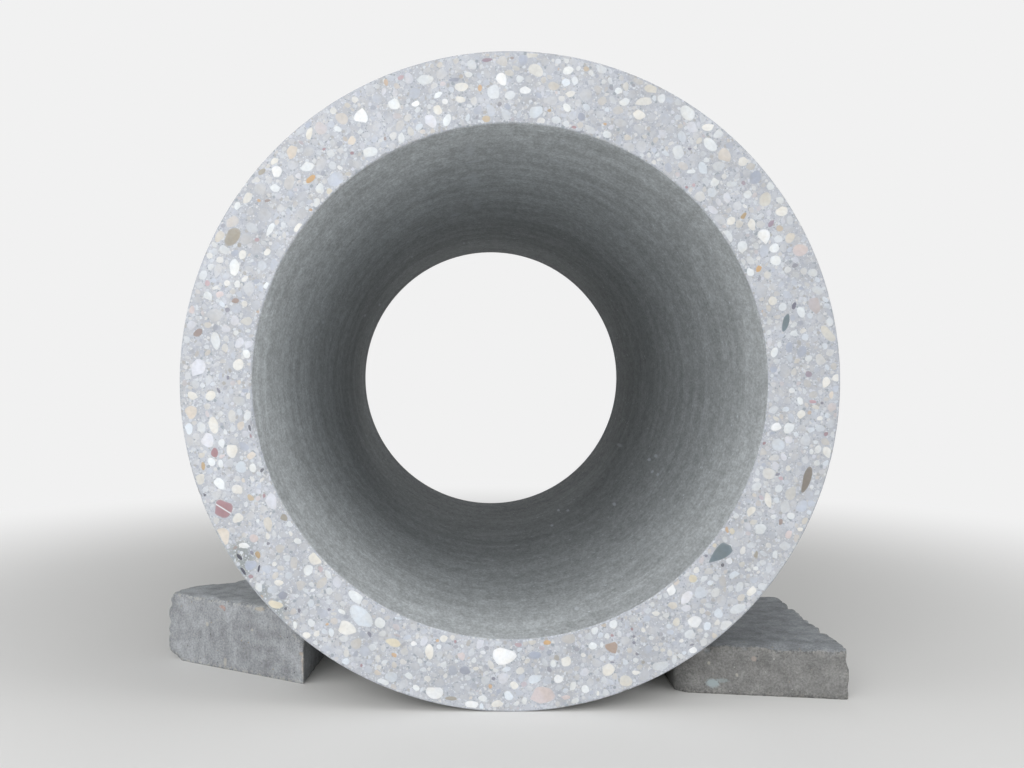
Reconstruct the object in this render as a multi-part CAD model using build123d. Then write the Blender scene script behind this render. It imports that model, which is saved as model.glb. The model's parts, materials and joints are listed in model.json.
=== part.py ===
from build123d import *
import math
import os

# A length of concrete culvert pipe lying on its side, held by two loose chocks.
# Millimetres. Z is up and Y runs along the pipe. The origin is on the bore's axis, at mid length.
# The sawn end that faces the viewer looks toward -Y.

# Pipe
bore_diameter = 500.0
wall_thickness = 70.0
pipe_length = 1000.0
arris_ease = 1.0              # the sawn edges are rubbed down by this much

# Gap between the pipe and the top edge of each chock
seat_gap = 0.3

# Left chock, a concrete paving block with a broken right end and a broken back corner
paver_length = 196.0          # along its front face
paver_width = 100.0
paver_height = 76.0
paver_turn = -28.8            # degrees, its front face swings toward the viewer at the pipe
paver_end_skew = 47.0         # the right end runs this much out of square across the width
paver_setback = 84.0          # from the sawn face to its nearest corner
paver_top_chip_front = 27.0   # chip at the top corner next to the pipe, along the front face
paver_top_chip_end = 24.0     # the same chip, along the right end
paver_top_chip_drop = 43.0    # the same chip, down the corner
paver_foot_chip_front = 20.0  # chip at the foot of the left corner, along the front face
paver_foot_chip_end = 16.0    # the same chip, along the left end
paver_foot_chip_rise = 9.0    # the same chip, up the corner
# The broken back corner, as distances from the left end and from the back side
paver_back_break = [(29.0, 0.0), (26.0, 7.0), (21.0, 33.0), (10.0, 43.0), (0.0, 61.0)]

# Right chock, a piece of concrete paving tile that lies flat with one side along the pipe
tile_width = 170.0            # across, away from the pipe
tile_length = 216.0           # along the pipe, on the side that the pipe leans on
tile_height = 50.0
tile_front_skew = 23.0        # the broken front runs this much out of square across the width
tile_setback = 57.0           # from the sawn face to the front of the side along the pipe
tile_front_break = 10.0       # broken front corner next to the pipe
tile_back_radius = 8.0        # worn corner at the back, away from the pipe

outer_radius = bore_diameter / 2 + wall_thickness
bore_radius = bore_diameter / 2
floor_height = -outer_radius
near_face = -pipe_length / 2


def lean_distance(chock_height):
    """Distance from the pipe's middle plane at which a chock's top edge meets the pipe."""
    reach = outer_radius + seat_gap
    return math.sqrt(reach**2 - (outer_radius - chock_height) ** 2)


def knock_off_corner(solid, corner, along_first, along_second, along_third):
    """Cut a corner off on the plane through one point on each of its three edges."""
    first, second, third = (corner + step for step in (along_first, along_second, along_third))
    normal = (second - first).cross(third - first).normalized()
    if normal.dot(corner - first) < 0:
        normal = -normal
    return split(solid, bisect_by=Plane(origin=first, z_dir=normal), keep=Keep.BOTTOM)


def make_pipe():
    """One straight tube with both ends sawn square."""
    wall = Circle(outer_radius) - Circle(bore_radius)
    tube = extrude(Plane.XZ * wall, pipe_length / 2, both=True)
    rims = tube.edges().filter_by(GeomType.CIRCLE)
    return chamfer(rims, arris_ease)


def make_paver():
    """A paving block, turned so that its front looks past the pipe, with its worn corners."""
    outline = [(0.0, 0.0), (paver_length, 0.0), (paver_length - paver_end_skew, paver_width)]
    outline += [(from_end, paver_width - from_back) for from_end, from_back in paver_back_break]
    block = extrude(make_face(Polyline(outline, close=True)), paver_height)

    foot = Vector(0, 0, 0)
    block = knock_off_corner(
        block,
        foot,
        Vector(paver_foot_chip_front, 0, 0),
        Vector(0, paver_foot_chip_end, 0),
        Vector(0, 0, paver_foot_chip_rise),
    )
    end_direction = Vector(-paver_end_skew, paver_width, 0).normalized()
    top_corner = Vector(paver_length, 0, paver_height)
    block = knock_off_corner(
        block,
        top_corner,
        Vector(-paver_top_chip_front, 0, 0),
        end_direction * paver_top_chip_end,
        Vector(0, 0, -paver_top_chip_drop),
    )

    block = Rot(0, 0, paver_turn) * block
    extent = block.bounding_box()
    to_pipe = -lean_distance(paver_height) - extent.max.X
    to_front = near_face + paver_setback - extent.min.Y
    return Pos(to_pipe, to_front, floor_height) * block


def make_tile():
    """A broken piece of paving tile, with one straight side along the pipe."""
    outline = [
        (0.0, tile_front_break),
        (tile_front_break, 0.0),
        (tile_width, -tile_front_skew),
        (tile_width, tile_length),
        (0.0, tile_length),
    ]
    face = make_face(Polyline(outline, close=True))
    slab = extrude(face, tile_height)
    worn_corner = (tile_width, tile_length, tile_height / 2)
    worn_edge = slab.edges().filter_by(Axis.Z).sort_by_distance(worn_corner)[0]
    slab = fillet(worn_edge, tile_back_radius)
    return Pos(lean_distance(tile_height), near_face + tile_setback, floor_height) * slab


nodes = {
    "concrete_pipe": make_pipe(),
    "left_chock_paver": make_paver(),
    "right_chock_tile": make_tile(),
}
os.makedirs("parts", exist_ok=True)
for name, solid in nodes.items():
    export_step(solid, f"parts/{name}.step")
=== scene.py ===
import json
import math

import bmesh
import bpy
import numpy as np
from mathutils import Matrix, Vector, noise
from mathutils.geometry import delaunay_2d_cdt


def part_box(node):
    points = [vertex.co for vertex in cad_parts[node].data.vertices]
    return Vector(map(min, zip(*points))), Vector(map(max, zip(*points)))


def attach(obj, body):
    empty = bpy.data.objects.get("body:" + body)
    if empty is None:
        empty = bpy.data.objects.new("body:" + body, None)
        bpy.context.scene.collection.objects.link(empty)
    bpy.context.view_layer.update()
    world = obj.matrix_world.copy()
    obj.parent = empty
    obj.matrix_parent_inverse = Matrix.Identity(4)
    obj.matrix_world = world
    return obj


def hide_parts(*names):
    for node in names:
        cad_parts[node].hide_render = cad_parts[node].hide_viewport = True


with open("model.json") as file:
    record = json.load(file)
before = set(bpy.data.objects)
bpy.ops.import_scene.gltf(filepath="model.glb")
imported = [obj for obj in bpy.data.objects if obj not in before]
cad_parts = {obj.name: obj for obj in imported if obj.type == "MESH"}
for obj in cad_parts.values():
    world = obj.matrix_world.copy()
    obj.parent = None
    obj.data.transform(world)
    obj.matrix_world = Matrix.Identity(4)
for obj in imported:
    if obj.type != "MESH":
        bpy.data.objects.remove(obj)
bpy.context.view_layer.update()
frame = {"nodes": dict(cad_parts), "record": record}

# A length of concrete pipe, sawn square, that lies between two loose chocks.
# Blender works in metres. Sizes on the pipe are given in millimetres and turned into metres by MM.
MM = 0.001

pipe_low, pipe_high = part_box("concrete_pipe")
bore_mount = next(mount for mount in frame["record"]["mounts"] if mount["name"] == "bore")
outer_radius = pipe_high.x / MM
bore_radius = bore_mount["dims"]["r_mm"]
near_face = pipe_low.y / MM
far_face = pipe_high.y / MM
floor_height = pipe_low.z

arris_ease = 1.0             # the rubbed-down edge of the sawn faces
stone_rise = 0.12            # how far the hard stones stand proud of the ground cement
proud_size = 7               # only stones longer than this stand proud
proud_share = 0.8            # share of such a stone's width that its flat top takes up
rim_share = 0.22             # how far the rim of a stone takes on the cement's colour
edge_gap = 0.7               # least cement between a stone and the edge of the face
stone_gap = 0.5              # least cement between two stones
fine_ring = 768              # points around the chipped near edges
wall_ring = 384              # points around the walls
crease_angle = math.radians(28)    # faces that meet at more than this are shaded apart
chip_slope = 0.9             # how far a chip runs along the pipe, as a share of its depth
row_margin = 6               # distance from an end to where the walls' rows start
bore_skin = 0.35             # unevenness of the bore
outside_skin = 0.9           # unevenness of the outside

# The photograph's frame and the camera that took it
frame_width_px = 1024
frame_height_px = 768
focal_length_px = 973.0
vanishing_point_px = (472.9, 374.3)
camera_position = (-0.0359, -1.4418, 0.0068)
sensor_width_mm = 36.0


def new_object(name, data):
    """A new object in the scene."""
    made = bpy.data.objects.new(name, data)
    bpy.context.scene.collection.objects.link(made)
    return made


def add_camera():
    """A level camera that looks straight along the bore, with the frame shifted to the pipe."""
    camera = bpy.data.cameras.new("camera")
    camera.sensor_width = sensor_width_mm
    camera.lens = sensor_width_mm * focal_length_px / frame_width_px
    camera.shift_x = (frame_width_px / 2 - vanishing_point_px[0]) / frame_width_px
    camera.shift_y = (vanishing_point_px[1] - frame_height_px / 2) / frame_width_px
    holder = new_object("camera", camera)
    holder.location = camera_position
    holder.rotation_euler = (math.radians(90), 0, 0)
    bpy.context.scene.camera = holder


# Materials


def linear(red, green, blue):
    """A colour given in screen values from 0 to 255, as the linear colour that a shader takes."""
    return tuple(((value / 255 + 0.055) / 1.055) ** 2.4 for value in (red, green, blue))


tints = {name: linear(*screen) for name, screen in {
    "bright": (243, 246, 249), "white": (228, 233, 237), "cream": (231, 231, 228), "pale": (216, 221, 226),
    "blue_white": (220, 228, 237), "lilac": (220, 223, 232), "mid": (204, 207, 212),
    "soft_blue": (197, 204, 216), "soft_beige": (210, 207, 201), "beige": (217, 216, 211),
    "peach": (220, 213, 204), "pink": (214, 205, 206), "rose": (196, 171, 178), "yellow": (220, 214, 196),
    "tan": (200, 187, 167), "orange": (208, 177, 140), "ochre": (184, 165, 138), "olive": (168, 164, 156),
    "brown": (164, 152, 149), "red_brown": (168, 138, 145), "red": (168, 136, 142),
    "purple": (168, 155, 168), "blue_grey": (179, 187, 203), "grey": (163, 168, 181),
    "slate": (124, 137, 145), "dark": (132, 132, 146), "black": (98, 99, 110), "ash": (187, 183, 187),
    "umber": (141, 136, 131), "clay": (180, 164, 154),
}.items()}
cement_colour = linear(190, 194, 202)


class Look:
    """The shading of a material or of the world, put together node by node."""

    def __init__(self, holder):
        self.holder = holder
        holder.use_nodes = True
        self.tree = holder.node_tree
        self.coordinates = self.node("ShaderNodeTexCoord").outputs
        self.where = self.coordinates["Object"]    # in metres

    def feed(self, socket, value):
        """Give an input a number, a vector, a colour, or the output that feeds it."""
        if isinstance(value, bpy.types.NodeSocket):
            self.tree.links.new(value, socket)
        elif socket.type == "RGBA":
            socket.default_value = (*value, 1.0)
        else:
            socket.default_value = value

    def node(self, kind, inputs=None, **settings):
        """Add a node. Its inputs go by name or by number."""
        made = self.tree.nodes.new(kind)
        for name, value in settings.items():
            setattr(made, name, value)
        for name, value in (inputs or {}).items():
            self.feed(made.inputs[name], value)
        return made

    def attribute(self, name, output="Fac"):
        return self.node("ShaderNodeAttribute", attribute_name=name).outputs[output]

    def noise(self, scale, detail=3.0, roughness=0.55):
        """Cloudy noise from 0 to 1. Three scales instead of one stretch it along the axes."""
        where = self.where
        if isinstance(scale, tuple):
            where = self.node("ShaderNodeMapping", {"Vector": where, "Scale": scale}).outputs["Vector"]
            scale = 1.0
        inputs = {"Vector": where, "Scale": scale, "Detail": detail, "Roughness": roughness}
        return self.node("ShaderNodeTexNoise", inputs).outputs["Fac"]

    def cells(self, scale):
        """Small grains: the distance from a grain's middle, and random numbers for each grain."""
        grains = self.node("ShaderNodeTexVoronoi", {"Vector": self.where, "Scale": scale}).outputs
        chance = self.node("ShaderNodeSeparateColor", {"Color": grains["Color"]}).outputs
        return grains["Distance"], chance

    def between(self, value, low, high, start=0.0, end=1.0):
        """Map a value from low..high to start..end, softly at both ends."""
        inputs = {"Value": value, "From Min": low, "From Max": high, "To Min": start, "To Max": end}
        made = self.node("ShaderNodeMapRange", inputs, interpolation_type="SMOOTHSTEP")
        return made.outputs["Result"]

    def calculate(self, operation, first, second=0.0):
        return self.node("ShaderNodeMath", {0: first, 1: second}, operation=operation).outputs[0]

    def vector(self, operation, first, second=(0.0, 0.0, 0.0), output="Vector"):
        inputs = {0: first, 1: second}
        return self.node("ShaderNodeVectorMath", inputs, operation=operation).outputs[output]

    def mixed(self, amount, first, second, blend="MIX"):
        """Mix two colours, each a socket or a linear colour."""
        inputs = {0: amount, 6: first, 7: second}
        return self.node("ShaderNodeMix", inputs, data_type="RGBA", blend_type=blend).outputs[2]

    def shaded(self, colour, amount):
        """Darken or lighten a colour by a factor that varies over the surface."""
        grey = self.node("ShaderNodeCombineColor", {"Red": amount, "Green": amount, "Blue": amount})
        return self.mixed(1.0, colour, grey.outputs["Color"], blend="MULTIPLY")

    def varied(self, colour, layers):
        """Shade a colour by several values round 0.5.

        Each has a low, with its factor at low and below, and its factor at 1 - low and above.
        """
        for value, low, least, greatest in layers:
            colour = self.shaded(colour, self.between(value, low, 1 - low, least, greatest))
        return colour

    def bumped(self, height, depth_mm, normal=None):
        inputs = {"Height": height, "Distance": depth_mm * MM}
        if normal is not None:
            inputs["Normal"] = normal
        return self.node("ShaderNodeBump", inputs).outputs["Normal"]

    def finish(self, colour, roughness, normal=None, specular=0.3):
        """Give the surface its colour, roughness and relief."""
        shader = self.tree.nodes["Principled BSDF"]
        inputs = {"Base Color": colour, "Roughness": roughness, "Specular IOR Level": specular}
        if normal is not None:
            inputs["Normal"] = normal
        for name, value in inputs.items():
            self.feed(shader.inputs[name], value)
        return self.holder

    def sand(self, colour, scale, size, share, tint_list):
        """Strew small grains over a colour. size is a grain's reach in its cell, share how many show."""
        distance, chance = self.cells(scale)
        reach = self.between(chance["Green"], 0.0, 1.0, size * 0.55, size)
        inside = self.between(self.calculate("SUBTRACT", reach, distance), 0.0, 0.12)
        step = share / len(tint_list)
        for index, tint in enumerate(tint_list):
            low = self.calculate("GREATER_THAN", chance["Red"], index * step)
            high = self.calculate("LESS_THAN", chance["Red"], (index + 1) * step)
            amount = self.calculate("MULTIPLY", self.calculate("MULTIPLY", low, high), inside)
            colour = self.mixed(amount, colour, tint)
        return colour, inside

    def marked(self, colour, mark, size, tint, strength):
        """Put a soft-edged mark at a place in mm. size is its reach along x, y and z in mm."""
        offset = self.vector("SUBTRACT", self.where, [value * MM for value in mark])
        scaled = self.vector("MULTIPLY", offset, [1 / (reach * MM) for reach in size])
        length = self.vector("LENGTH", scaled, output="Value")
        ragged = self.calculate("MULTIPLY", self.noise(500.0), 0.9)
        reach = self.calculate("ADD", length, ragged)
        return self.mixed(self.between(reach, 1.0, 1.5, strength, 0.0), colour, tint)


def sawn_cement():
    """Ground cement with its cut sand: pale grey, with light, grey and a few warm grains."""
    look = Look(bpy.data.materials.new("sawn_cement"))
    colour = clouded(look, look.attribute("tint", "Color"))
    fine = [sand_tint(name) for name in ("white", "grey", "pale", "slate", "beige", "grey")]
    coarse = [sand_tint(name) for name in ("white", "pale", "grey", "lilac", "slate", "cream", "olive")]
    colour, _ = look.sand(colour, 620.0, 0.62, 0.75, fine)
    colour, grains = look.sand(colour, 300.0, 0.62, 0.62, coarse)
    rough = look.between(grains, 0.0, 1.0, 0.8, 0.65)
    return look.finish(colour, rough, look.bumped(grains, 0.03))


def sand_tint(name):
    """Fine grains differ less from the cement than stones of the same kind."""
    return blended(cement_colour, tints[name], 0.5)


def clouded(look, colour):
    """The sawn face is paler in some places and warmer in others, over stones and cement alike."""
    cloud = look.noise(26.0, detail=2.0)
    colour = look.varied(colour, [(cloud, 0.3, 0.91, 1.08)])
    warm = look.between(look.noise(62.0, detail=4.0), 0.42, 0.66)
    return look.mixed(warm, colour, (1.0, 0.975, 0.935), blend="MULTIPLY")


def sawn_stone():
    """Cut gravel. Each stone has its own tint, and one has a pale vein."""
    look = Look(bpy.data.materials.new("sawn_stone"))
    mottle = look.noise(260.0, detail=4.0)
    colour = clouded(look, look.attribute("tint", "Color"))
    colour = look.varied(colour, [(mottle, 0.25, 0.93, 1.05)])
    vein = look.calculate("ABSOLUTE", look.attribute("vein"))
    colour = look.mixed(look.between(vein, 0.3, 0.9, 0.85, 0.0), colour, tints["white"])
    rough = look.between(mottle, 0.3, 0.7, 0.5, 0.62)
    return look.finish(colour, rough, look.bumped(mottle, 0.02))


# Painted light: the bore is painted a little paler toward this side, the upper left
painted_light_side = (-0.82, 0.0, 0.57)


def bore_wall():
    """Smooth dense cement, rubbed round and round by the mould, with fine sand showing."""
    look = Look(bpy.data.materials.new("bore_wall"))
    # Painted light: the bore's colour is paler toward the upper left and darker toward the lower right
    side = look.vector("DOT_PRODUCT", look.where, painted_light_side, output="Value")
    side = look.between(side, -bore_radius * MM, bore_radius * MM, 0.9, 1.1)
    streaks = look.noise((16.0, 330.0, 16.0), detail=4.0)
    bands = look.noise((2.5, 30.0, 2.5), detail=4.0)
    cloud = look.noise(12.0, detail=4.0)
    mottle = look.noise((110.0, 45.0, 110.0), detail=5.0, roughness=0.65)
    grain = look.noise((380.0, 150.0, 380.0), roughness=0.75)
    scratches = look.noise((11.0, 520.0, 11.0), detail=1.0)
    colour = look.shaded(look.attribute("tint", "Color"), side)
    colour = look.varied(colour, [
        (streaks, 0.3, 0.95, 1.05), (bands, 0.3, 0.91, 1.09), (cloud, 0.3, 0.94, 1.06),
        (mottle, 0.32, 0.88, 1.12), (grain, 0.32, 0.84, 1.16),
    ])
    colour = look.shaded(colour, look.between(scratches, 0.66, 0.76, 1.0, 1.2))
    colour, _ = look.sand(colour, 110.0, 0.24, 0.22, [tints["pale"], tints["white"]])
    for degrees, y, around, along, strength in bore_marks:
        across, up = math.cos(math.radians(degrees)), math.sin(math.radians(degrees))
        reach = (around * abs(up) + 3, along, around * abs(across) + 3)
        mark = (bore_radius * across, y, bore_radius * up)
        colour = look.marked(colour, mark, reach, tints["pale"], strength)
    rough = look.between(streaks, 0.3, 0.7, 0.7, 0.85)
    normal = look.bumped(streaks, 0.04, look.bumped(grain, 0.05))
    return look.finish(colour, rough, normal, specular=0.05)


def cast_outside():
    """The outside of the pipe as it left the mould: clouded grey cement with air holes, darkened with
    painted shade.
    """
    look = Look(bpy.data.materials.new("cast_outside"))
    cloud = look.noise(7.0, detail=5.0)
    mottle = look.noise(38.0, detail=6.0, roughness=0.62)
    stains = look.noise((14.0, 3.0, 14.0), detail=4.0)
    grain = look.noise(700.0, detail=2.0)
    colour = look.varied(look.attribute("tint", "Color"), [
        (cloud, 0.3, 0.89, 1.09), (mottle, 0.3, 0.91, 1.08), (stains, 0.3, 0.93, 1.06),
        (grain, 0.3, 0.92, 1.08),
    ])
    distance, chance = look.cells(85.0)
    reach = look.between(chance["Red"], 0.62, 1.0, 0.0, 0.24)
    hole_relief_and_shade = look.between(look.calculate("SUBTRACT", reach, distance), 0.0, 0.05)
    # Painted shade: the air holes are darkened toward black for the shade inside them
    colour = look.mixed(look.calculate("MULTIPLY", hole_relief_and_shade, 0.55), colour, tints["black"])
    rough = look.between(cloud, 0.3, 0.7, 0.7, 0.85)
    surface = look.calculate("SUBTRACT", 1.0, hole_relief_and_shade)
    return look.finish(colour, rough, look.bumped(surface, 0.8, look.bumped(grain, 0.1)))


# Stones that stand out on the sawn face, by tint, in millimetres from the bore's axis as seen from the
# near end: right, up, long size and short size. The tilt in degrees from level and the taper follow
# where they aren't 0. The taper is more than 0 where a stone is pointed at its start, and less at its tip.
noted_stones = {
    "olive": [
        (-269, 140, 19, 14, 45), (-262, 132, 5, 4, 80), (-219, -132, 8, 7, 130), (-57, -307, 12, 4),
        (238, -168, 8, 4, 80), (-240, 203, 10, 5, 35), (-247, -149, 5, 3, 130), (129, -272, 4, 3.5),
    ],
    "cream": [
        (-259, 122, 11, 7, 75, 0.2), (-257, 75, 6, 6), (-235, 125, 8, 7, 80), (-274, 95, 6, 6),
        (-263, 16, 12, 10, 80), (-290, -14, 11, 9, 30), (-307, -14, 11, 8, 150), (-287, -42, 17, 10, 102),
        (-269, -67, 15, 11, 100), (-264, -133, 13, 9, 35, 0.3), (-224, -195, 9, 6),
        (-189, -172, 15, 11, 125), (-228, -177, 5, 5), (-158, -239, 20, 13, 155, 0.2),
        (-187, -244, 7, 6, 40), (-197, -246, 8, 7), (-78, -262, 16, 8, 95, 0.2), (-80, -288, 7, 6),
        (-33, -278, 6, 4), (-12, -312, 12, 7, 10), (4, -294, 9, 8), (-64, -249, 8, 7), (54, -271, 11, 10),
        (95, -279, 13, 12), (71, -265, 5, 5), (129, -241, 5, 4), (141, -225, 8, 5), (233, -126, 12, 7, 50),
        (250, -115, 16, 7, 105), (234, -203, 12, 8, 55), (306, -1, 11, 8, 65, 0.2), (282, -32, 9, 8, 110),
        (269, -84, 6, 5.5, 90), (254, 78, 9, 9), (284, 49, 7, 5, 30), (234, 152, 13, 8, 110),
        (214, 155, 10, 8, 60), (263, 165, 13, 10, 20), (226, 213, 12, 9, 10), (192, 246, 13, 7, 10),
        (125, 258, 14, 9, 155), (130, 271, 19, 8, 3), (25, 301, 15, 12, 150), (-47, 285, 13, 9),
        (-48, 273, 10, 7, -15), (-70, 263, 11, 8, 125), (-171, 262, 7, 7, 40), (-150, 273, 7, 7),
        (-228, 213, 9, 6, 50), (-254, 178, 13, 8, 60), (-205, 149, 11, 6, 55), (122, -282, 8, 5),
        (186, -222, 6, 6), (166, -251, 5, 4), (300, -36, 6, 5), (85, -302, 5, 3, 90),
    ],
    "bright": [
        (-257, -159, 11, 6, -5), (-93, -254, 6, 5.5), (-73, -301, 17, 13), (-6, -266, 27, 17, 0, -0.3),
        (-37, -313, 13, 8, -8), (47, -288, 9, 9), (156, -202, 12, 9, 80), (258, -44, 11, 8, 15),
        (246, 140, 15, 12, -70, -0.3), (15, 282, 11, 8, 10), (-8, 292, 13, 11, -60, -0.3), (-63, 271, 6, 6),
        (-91, 269, 9, 6, 25), (-144, 257, 16, 13, 85, -0.4), (-226, 203, 11, 11), (177, -260, 8, 7),
        (179, -233, 14, 12, 10),
    ],
    "lilac": [
        (-275, 51, 9, 8), (-303, 13, 20, 15, 75, 0.1), (-293, -57, 16, 12, 100), (269, -57, 8, 8),
        (-77, 252, 14, 11, 120), (171, -210, 17, 9, 60), (265, -73, 8, 6, 110), (-231, -116, 17, 11, 118),
    ],
    "white": [
        (-264, 94, 7, 7), (-292, 82, 11, 8, 125), (-265, 47, 6, 5), (-253, 49, 5, 4), (-236, 93, 8, 5, 60),
        (-285, 39, 17, 10, 97, 0.2), (-255, 27, 10, 8, 110), (-254, -33, 11, 7, 70), (-289, -78, 9, 7, 130),
        (-280, -80, 9, 5, 100), (-249, -84, 9, 7, 95), (-244, -135, 4, 4), (-213, -138, 7, 6),
        (-243, -199, 11, 7, 95), (-195, -183, 11, 10, 45), (-163, -223, 8, 5, 150), (-208, -236, 9, 4, 100),
        (-126, -234, 12, 10, 85), (-69, -257, 5.5, 5), (-64, -274, 7, 6.5, 90), (-123, -291, 12, 6, -20),
        (-98, -285, 9, 6, -30), (-91, -297, 8, 6, -35), (42, -273, 8, 6, 90), (-35, -270, 6, 5, 80),
        (-52, -271, 4, 4), (-23, -282, 5, 4), (-14, -280, 6, 4), (-26, -307, 10, 6, -10), (80, -256, 9, 7),
        (89, -255, 6, 4, 100), (51, -287, 6, 5, 90), (100, -235, 10, 8, 80), (82, -241, 8, 7, 90),
        (122, -270, 6, 5), (145, -209, 5, 5), (138, -216, 5, 5), (242, -143, 14, 10, 10), (219, -130, 6, 6),
        (257, -168, 9, 6, 90), (255, -131, 5, 5), (272, -130, 8, 7), (273, -9, 6, 6), (281, -19, 8, 6, 120),
        (270, -45, 13, 9, 50), (297, -79, 6, 6), (292, -68, 6, 5, 90), (282, 67, 11, 8, 110),
        (256, 28, 10, 7, 65), (289, 22, 8, 6, 40), (233, 106, 9, 8, 110), (257, 117, 11, 10),
        (225, 130, 12, 10, -80, -0.2), (252, 189, 8, 8), (198, 193, 9, 9, 60), (175, 203, 9, 5, 10),
        (194, 229, 17, 10, 130), (172, 260, 17, 12, 125), (147, 274, 9, 9), (111, 271, 11, 8, 20),
        (105, 281, 8, 7), (94, 239, 9, 7, -5), (55, 265, 9, 7, 130), (56, 301, 11, 8, 25), (9, 293, 8, 8),
        (-40, 297, 8, 6), (-70, 277, 10, 5, 35), (-61, 253, 12, 8, 70), (-105, 236, 10, 7, 90, -0.2),
        (-83, 292, 17, 10, 5), (-112, 269, 13, 12, 40), (-167, 244, 8, 6, -10), (-136, 222, 17, 9, 8),
        (-184, 187, 11, 9, 100), (-228, 187, 12, 8, 10, 0.4), (-187, 173, 9, 7, 70), (-264, 170, 8, 6, 60),
        (-232, 147, 14, 6, 60, 0.2), (190, -246, 6, 4, 90), (231, -182, 5, 4.5), (238, -181, 6, 4, 10),
        (73, -298, 8, 8), (292, -102, 5, 5), (-281, -99, 14, 9, 130), (-149, -209, 17, 10, 142),
        (256, 129, 10, 9, 30), (-267, 110, 17, 10.5, 85), (-197, 208, 14, 10, 10, 0.3),
    ],
    "rose": [
        (-293, 95, 6, 5, 90), (-245, 137, 5, 4), (8, -255, 7, 4.5), (293, -20, 8, 4, -5), (262, -94, 5, 4),
        (178, 190, 4, 3.5), (-106, 294, 7, 4, 25),
    ],
    "pink": [
        (-281, 84, 8, 7), (-308, 69, 9, 5, 80), (-248, -152, 9, 8), (30, -304, 27, 17),
        (270, -148, 9, 7, 60), (281, 127, 15, 12, 20), (54, -306, 10, 5),
    ],
    "brown": [
        (-266, 78, 8, 5, 10), (-302, 47, 10, 7, 35), (262, -136, 8, 4, 85), (2, 313, 4, 3),
        (-121, 235, 4, 3, 100), (-235, 175, 7, 3, 10), (-266, -161, 5, 3, 20),
    ],
    "beige": [
        (247, 176, 14, 12, 60), (137, 283, 14, 9, 160), (296, -25, 8, 4, -10), (-300, -95, 12, 10, 60),
        (308, 46, 20, 9, 135), (-194, 240, 12, 7, 80), (112, -290, 13, 11), (161, -233, 9, 7, 60),
        (148, -260, 5, 4),
    ],
    "pale": [
        (-297, 103, 11, 7, 70), (-175, -203, 7, 7), (222, -199, 11, 7, 60), (264, 72, 8, 8),
        (275, 46, 8, 7), (251, 58, 7, 5, 90), (293, 105, 9, 9), (269, 108, 7, 7), (261, 175, 9, 7),
        (230, 181, 9, 8), (214, 191, 11, 6), (45, 253, 10, 7), (-16, 280, 17, 12, 100), (0, 277, 12, 8, 30),
        (221, -220, 17, 9, 20), (-176, -187, 10, 6, 135), (-173, 221, 9, 8), (239, -102, 10, 8, 20),
        (260, -104, 9, 7, 20), (146, -275, 18, 9, 15), (163, 222, 14, 12, 80),
    ],
    "peach": [
        (-309, -29, 15, 12, 100), (-262, -1, 5, 4, 90), (-258, -96, 5, 3.5, 120), (-278, -150, 18, 14, 120),
        (-153, 233, 11, 7, 60), (-211, 222, 16, 10, 60), (311, -13, 8, 4, 80),
    ],
    "blue_white": [
        (-311, -46, 11, 8, 95), (-260, -83, 12, 11, 20), (-144, -228, 27, 16, 138), (-173, -243, 9, 5, 100),
        (-159, -271, 8, 7), (-2, -304, 12, 8, -40), (24, -288, 13, 9, 25), (217, -187, 12, 6, 30),
        (187, 206, 13, 9, 115), (54, 289, 9, 8), (25, 261, 15, 12, 30), (-41, 255, 8, 4, 80),
        (191, -237, 10, 7, 80), (154, -237, 6, 5), (169, -263, 5, 4), (112, -272, 6, 5), (194, -195, 7, 5),
        (267, -27, 7, 5), (307, -33, 6, 5, 90), (258, -115, 6, 6), (296, -59, 5, 4), (277, -51, 5, 5),
    ],
    "red_brown": [
        (-286, -69, 10, 7, 95), (-278, -123, 20, 18, 140), (-251, -189, 5, 4), (306, -51, 5, 4.5, 60),
    ],
    "dark": [
        (-273, 4, 5, 3, 90), (-282, -9, 6, 3, -60), (-250, -166, 5, 3, 120), (-204, -222, 5, 3, 95),
        (-175, -221, 3.5, 3), (-136, -245, 6, 4, 120), (-16, -288, 4, 4), (190, -169, 3.5, 3),
        (275, 73, 8, 4, 70), (174, 225, 4, 3.5), (-234, -157, 3.5, 3), (176, -255, 5, 2, 10),
        (120, -247, 3.5, 3), (120, -253, 3.5, 3), (123, -264, 4, 3, -30), (99, -272, 5, 2),
        (259, -90, 5, 3, 20), (302, -21, 3.5, 3),
    ],
    "blue_grey": [
        (-256, -9, 6, 5), (24, -265, 12, 8), (-11, -300, 5, 5), (246, -81, 5, 4), (282, 90, 5, 4),
        (254, -50, 6, 3), (-251, -178, 12, 11, 60),
    ],
    "ochre": [
        (-288, -33, 4, 3), (-297, -82, 8, 4, 93), (-244, -168, 9, 5, 125), (226, 160, 8, 5, 50),
        (38, 262, 4, 4),
    ],
    "tan": [
        (-251, -113, 9, 5, 135), (74, 303, 6, 6), (-23, 254, 8, 7), (261, 148, 7, 6),
    ],
    "red": [
        (-251, -53, 4, 2, 100), (-238, -111, 5, 3, 95), (-144, -275, 3.5, 3, 80), (-53, -252, 4, 3, 60),
        (99, -246, 4, 3), (118, -240, 3.5, 3), (246, -60, 4, 3, 20), (171, 188, 3.5, 3), (62, 246, 5, 3),
        (-153, 221, 4, 3.5), (-180, 225, 4, 3, 40),
    ],
    # Black: dark stones, and painted shade in the small holes and chips of the face
    "black": [
        (-252, -45, 7, 2.5, 100), (-240, -86, 6, 3, 60), (-297, -110, 7, 3), (-243, -181, 8, 2.5, 80),
        (-262, -170, 8, 3.5, 135), (206, -178, 4, 4), (-258, -184, 10, 3, 125), (-217, -220, 3.5, 3),
    ],
    "grey": [
        (-220, -207, 9, 9), (38, -262, 6, 4, 30), (211, -135, 5, 5), (69, 256, 8, 8), (-54, 292, 11, 4),
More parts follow.
